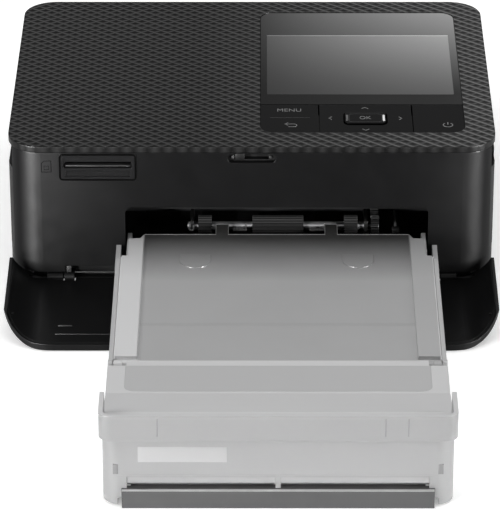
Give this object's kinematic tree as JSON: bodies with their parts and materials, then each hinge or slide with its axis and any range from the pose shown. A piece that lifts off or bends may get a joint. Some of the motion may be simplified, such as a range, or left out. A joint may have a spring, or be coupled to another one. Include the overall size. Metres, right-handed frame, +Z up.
{
  "type": "compact photo printer",
  "caption": "Flat dark photo printer with a fold-down front cover, a raised screen panel with keys and a long paper cassette in its front opening.",
  "frame": {"origin": "on the table, under the middle of the casing's footprint", "axes": "+X right as seen from the front, +Y towards the back, +Z up"},
  "size_m": [0.183, 0.2947, 0.0578],
  "materials": {
    "casing": "fine textured",
    "panel": "polished",
    "display": "polished",
    "dark_plastic": "satin",
    "smoke_plastic": "translucent look, satin",
    "bar_plastic": "satin",
    "gear_plastic": "satin",
    "ink_plastic": "satin",
    "film": "polished",
    "board": "satin",
    "rubber": "matte",
    "steel": "satin",
    "motor_steel": "satin",
    "bronze": "satin",
    "aluminium": "satin",
    "ceramic": "satin"
  },
  "bodies": {
    "printer": {"bottom_case": "casing", "rubber_feet": "rubber", "case_screws": "steel", "front_casing": "casing", "rear_cover": "casing", "top_cover": "casing", "left_side_panel": "casing", "battery_cover": "casing", "panel_tray": "panel", "display_window": "panel", "lcd_module": "display", "key_board": "board", "card_slot_bezel": "panel", "card_socket": "steel", "cover_catch": "dark_plastic", "cover_hinge_pins": "steel", "ink_door_pins": "steel", "chassis_base": "steel", "left_frame": "steel", "right_frame": "steel", "shaft_bushes": "bronze", "main_motor": "motor_steel", "motor_bracket": "steel", "thermal_head": "ceramic", "heat_sink": "aluminium", "paper_guide": "dark_plastic", "rear_paper_guide": "dark_plastic", "pickup_arms": "steel", "ink_cassette": "ink_plastic", "main_board": "board", "power_inlet": "dark_plastic", "data_socket": "steel"},
    "front_cover": {"front_cover": "casing"},
    "ink_door": {"ink_door": "casing"},
    "menu_key": {"menu_key": "panel"},
    "pad_key": {"pad_key": "panel"},
    "ok_key": {"ok_key": "panel"},
    "power_key": {"power_key": "panel"},
    "platen": {"platen_shaft": "steel", "platen_sleeve": "rubber", "platen_gear": "gear_plastic"},
    "feed": {"feed_roller": "steel", "feed_gear": "gear_plastic"},
    "feed_idler": {"feed_idler_gear": "gear_plastic"},
    "pinch": {"pinch_roller": "steel"},
    "motor_rotor": {"motor_pinion": "bronze"},
    "pickup_transfer": {"pickup_transfer_gear": "gear_plastic"},
    "pickup_drive": {"pickup_drive_shaft": "steel"},
    "pickup_idler": {"pickup_idler_gear": "gear_plastic"},
    "pickup": {"pickup_shaft": "steel", "pickup_rollers": "rubber"},
    "takeup_drive": {"takeup_drive_gear": "gear_plastic"},
    "supply_spool": {"supply_spool": "film"},
    "takeup_spool": {"takeup_spool": "film"},
    "ink_lever": {"ink_release_lever": "dark_plastic"},
    "cassette": {"cassette_base": "smoke_plastic", "cassette_foot": "bar_plastic", "lid_hinge_pins": "steel"},
    "inner_cover": {"inner_cover": "smoke_plastic"},
    "outer_cover": {"outer_cover": "smoke_plastic"}
  },
  "joints": [
    {"name": "cassette_slide", "type": "slide", "parent": "printer", "child": "cassette", "axis": [0, -0.9848, 0.1736], "range_m": [0, 0.42]},
    {"name": "front_cover_hinge", "type": "hinge", "parent": "printer", "child": "front_cover", "pos_m": [0, -0.0666, 0.0032], "axis": [-1, 0, 0], "range_deg": [0, 90]},
    {"name": "inner_cover_lift", "type": "hinge", "parent": "cassette", "child": "inner_cover", "pos_m": [0.00935, -0.168, 0.0218], "axis": [1, 0, 0], "range_deg": [0, 4.5]},
    {"name": "outer_cover_fold", "type": "hinge", "parent": "cassette", "child": "outer_cover", "pos_m": [0.00935, -0.168, 0.0218], "axis": [-1, 0, 0], "range_deg": [0, 150]},
    {"name": "ink_door_hinge", "type": "hinge", "parent": "printer", "child": "ink_door", "pos_m": [0.0892, 0, 0.012], "axis": [0, 1, 0], "range_deg": [0, 90]},
    {"name": "ink_release_turn", "type": "hinge", "parent": "printer", "child": "ink_lever", "pos_m": [0.0738, -0.047, 0.0306], "axis": [1, 0, 0], "range_deg": [0, 30]},
    {"name": "menu_press", "type": "slide", "parent": "printer", "child": "menu_key", "axis": [0, 0, -1], "range_m": [0, 0.0004], "stiffness_N_per_m": 400, "springref_m": -0.0004},
    {"name": "pad_press", "type": "slide", "parent": "printer", "child": "pad_key", "axis": [0, 0, -1], "range_m": [0, 0.0004], "stiffness_N_per_m": 400, "springref_m": -0.0004},
    {"name": "ok_press", "type": "slide", "parent": "printer", "child": "ok_key", "axis": [0, 0, -1], "range_m": [0, 0.0004], "stiffness_N_per_m": 400, "springref_m": -0.0004},
    {"name": "power_press", "type": "slide", "parent": "printer", "child": "power_key", "axis": [0, 0, -1], "range_m": [0, 0.0004], "stiffness_N_per_m": 400, "springref_m": -0.0004},
    {"name": "platen_spin", "type": "hinge", "parent": "printer", "child": "platen", "pos_m": [0, -0.01, 0.0175], "axis": [1, 0, 0], "continuous": true},
    {"name": "motor_spin", "type": "hinge", "parent": "printer", "child": "motor_rotor", "pos_m": [0, 0.00293, 0.02622], "axis": [1, 0, 0], "continuous": true},
    {"name": "feed_idler_spin", "type": "hinge", "parent": "printer", "child": "feed_idler", "pos_m": [0, 0.00508, 0.01158], "axis": [1, 0, 0], "continuous": true},
    {"name": "feed_spin", "type": "hinge", "parent": "printer", "child": "feed", "pos_m": [0, 0.014, 0.0196], "axis": [1, 0, 0], "continuous": true},
    {"name": "pinch_spin", "type": "hinge", "parent": "printer", "child": "pinch", "pos_m": [0, 0.014, 0.0269], "axis": [1, 0, 0], "continuous": true},
    {"name": "pickup_transfer_spin", "type": "hinge", "parent": "printer", "child": "pickup_transfer", "pos_m": [0, -0.02654, 0.01455], "axis": [1, 0, 0], "continuous": true},
    {"name": "pickup_drive_spin", "type": "hinge", "parent": "printer", "child": "pickup_drive", "pos_m": [0, -0.038, 0.0181], "axis": [1, 0, 0], "continuous": true},
    {"name": "pickup_idler_spin", "type": "hinge", "parent": "printer", "child": "pickup_idler", "pos_m": [0, -0.04565, 0.0181], "axis": [1, 0, 0], "continuous": true},
    {"name": "pickup_spin", "type": "hinge", "parent": "printer", "child": "pickup", "pos_m": [0, -0.0533, 0.0181], "axis": [1, 0, 0], "continuous": true},
    {"name": "takeup_drive_spin", "type": "hinge", "parent": "printer", "child": "takeup_drive", "pos_m": [0, 0.014, 0.0406], "axis": [1, 0, 0], "continuous": true},
    {"name": "takeup_spool_spin", "type": "hinge", "parent": "printer", "child": "takeup_spool", "pos_m": [0, 0.014, 0.0406], "axis": [1, 0, 0], "continuous": true},
    {"name": "supply_spool_spin", "type": "hinge", "parent": "printer", "child": "supply_spool", "pos_m": [0, -0.033, 0.0366], "axis": [1, 0, 0], "continuous": true}
  ],
  "couplings": [
    {"joint": "front_cover_hinge", "follows": "cassette_slide", "rad_per_m": 3.74},
    {"joint": "motor_spin", "follows": "platen_spin", "ratio": -3.3333},
    {"joint": "feed_idler_spin", "follows": "platen_spin", "ratio": -2.8571},
    {"joint": "feed_spin", "follows": "platen_spin", "ratio": 1.5385},
    {"joint": "pinch_spin", "follows": "platen_spin", "ratio": -1.9231},
    {"joint": "pickup_transfer_spin", "follows": "platen_spin", "ratio": -2.5},
    {"joint": "pickup_drive_spin", "follows": "platen_spin", "ratio": 1.6667},
    {"joint": "pickup_idler_spin", "follows": "platen_spin", "ratio": -1.6667},
    {"joint": "pickup_spin", "follows": "platen_spin", "ratio": 1.6667},
    {"joint": "takeup_drive_spin", "follows": "platen_spin", "ratio": -0.90909},
    {"joint": "takeup_spool_spin", "follows": "platen_spin", "ratio": -0.90909},
    {"joint": "supply_spool_spin", "follows": "platen_spin", "ratio": -0.90909}
  ]
}
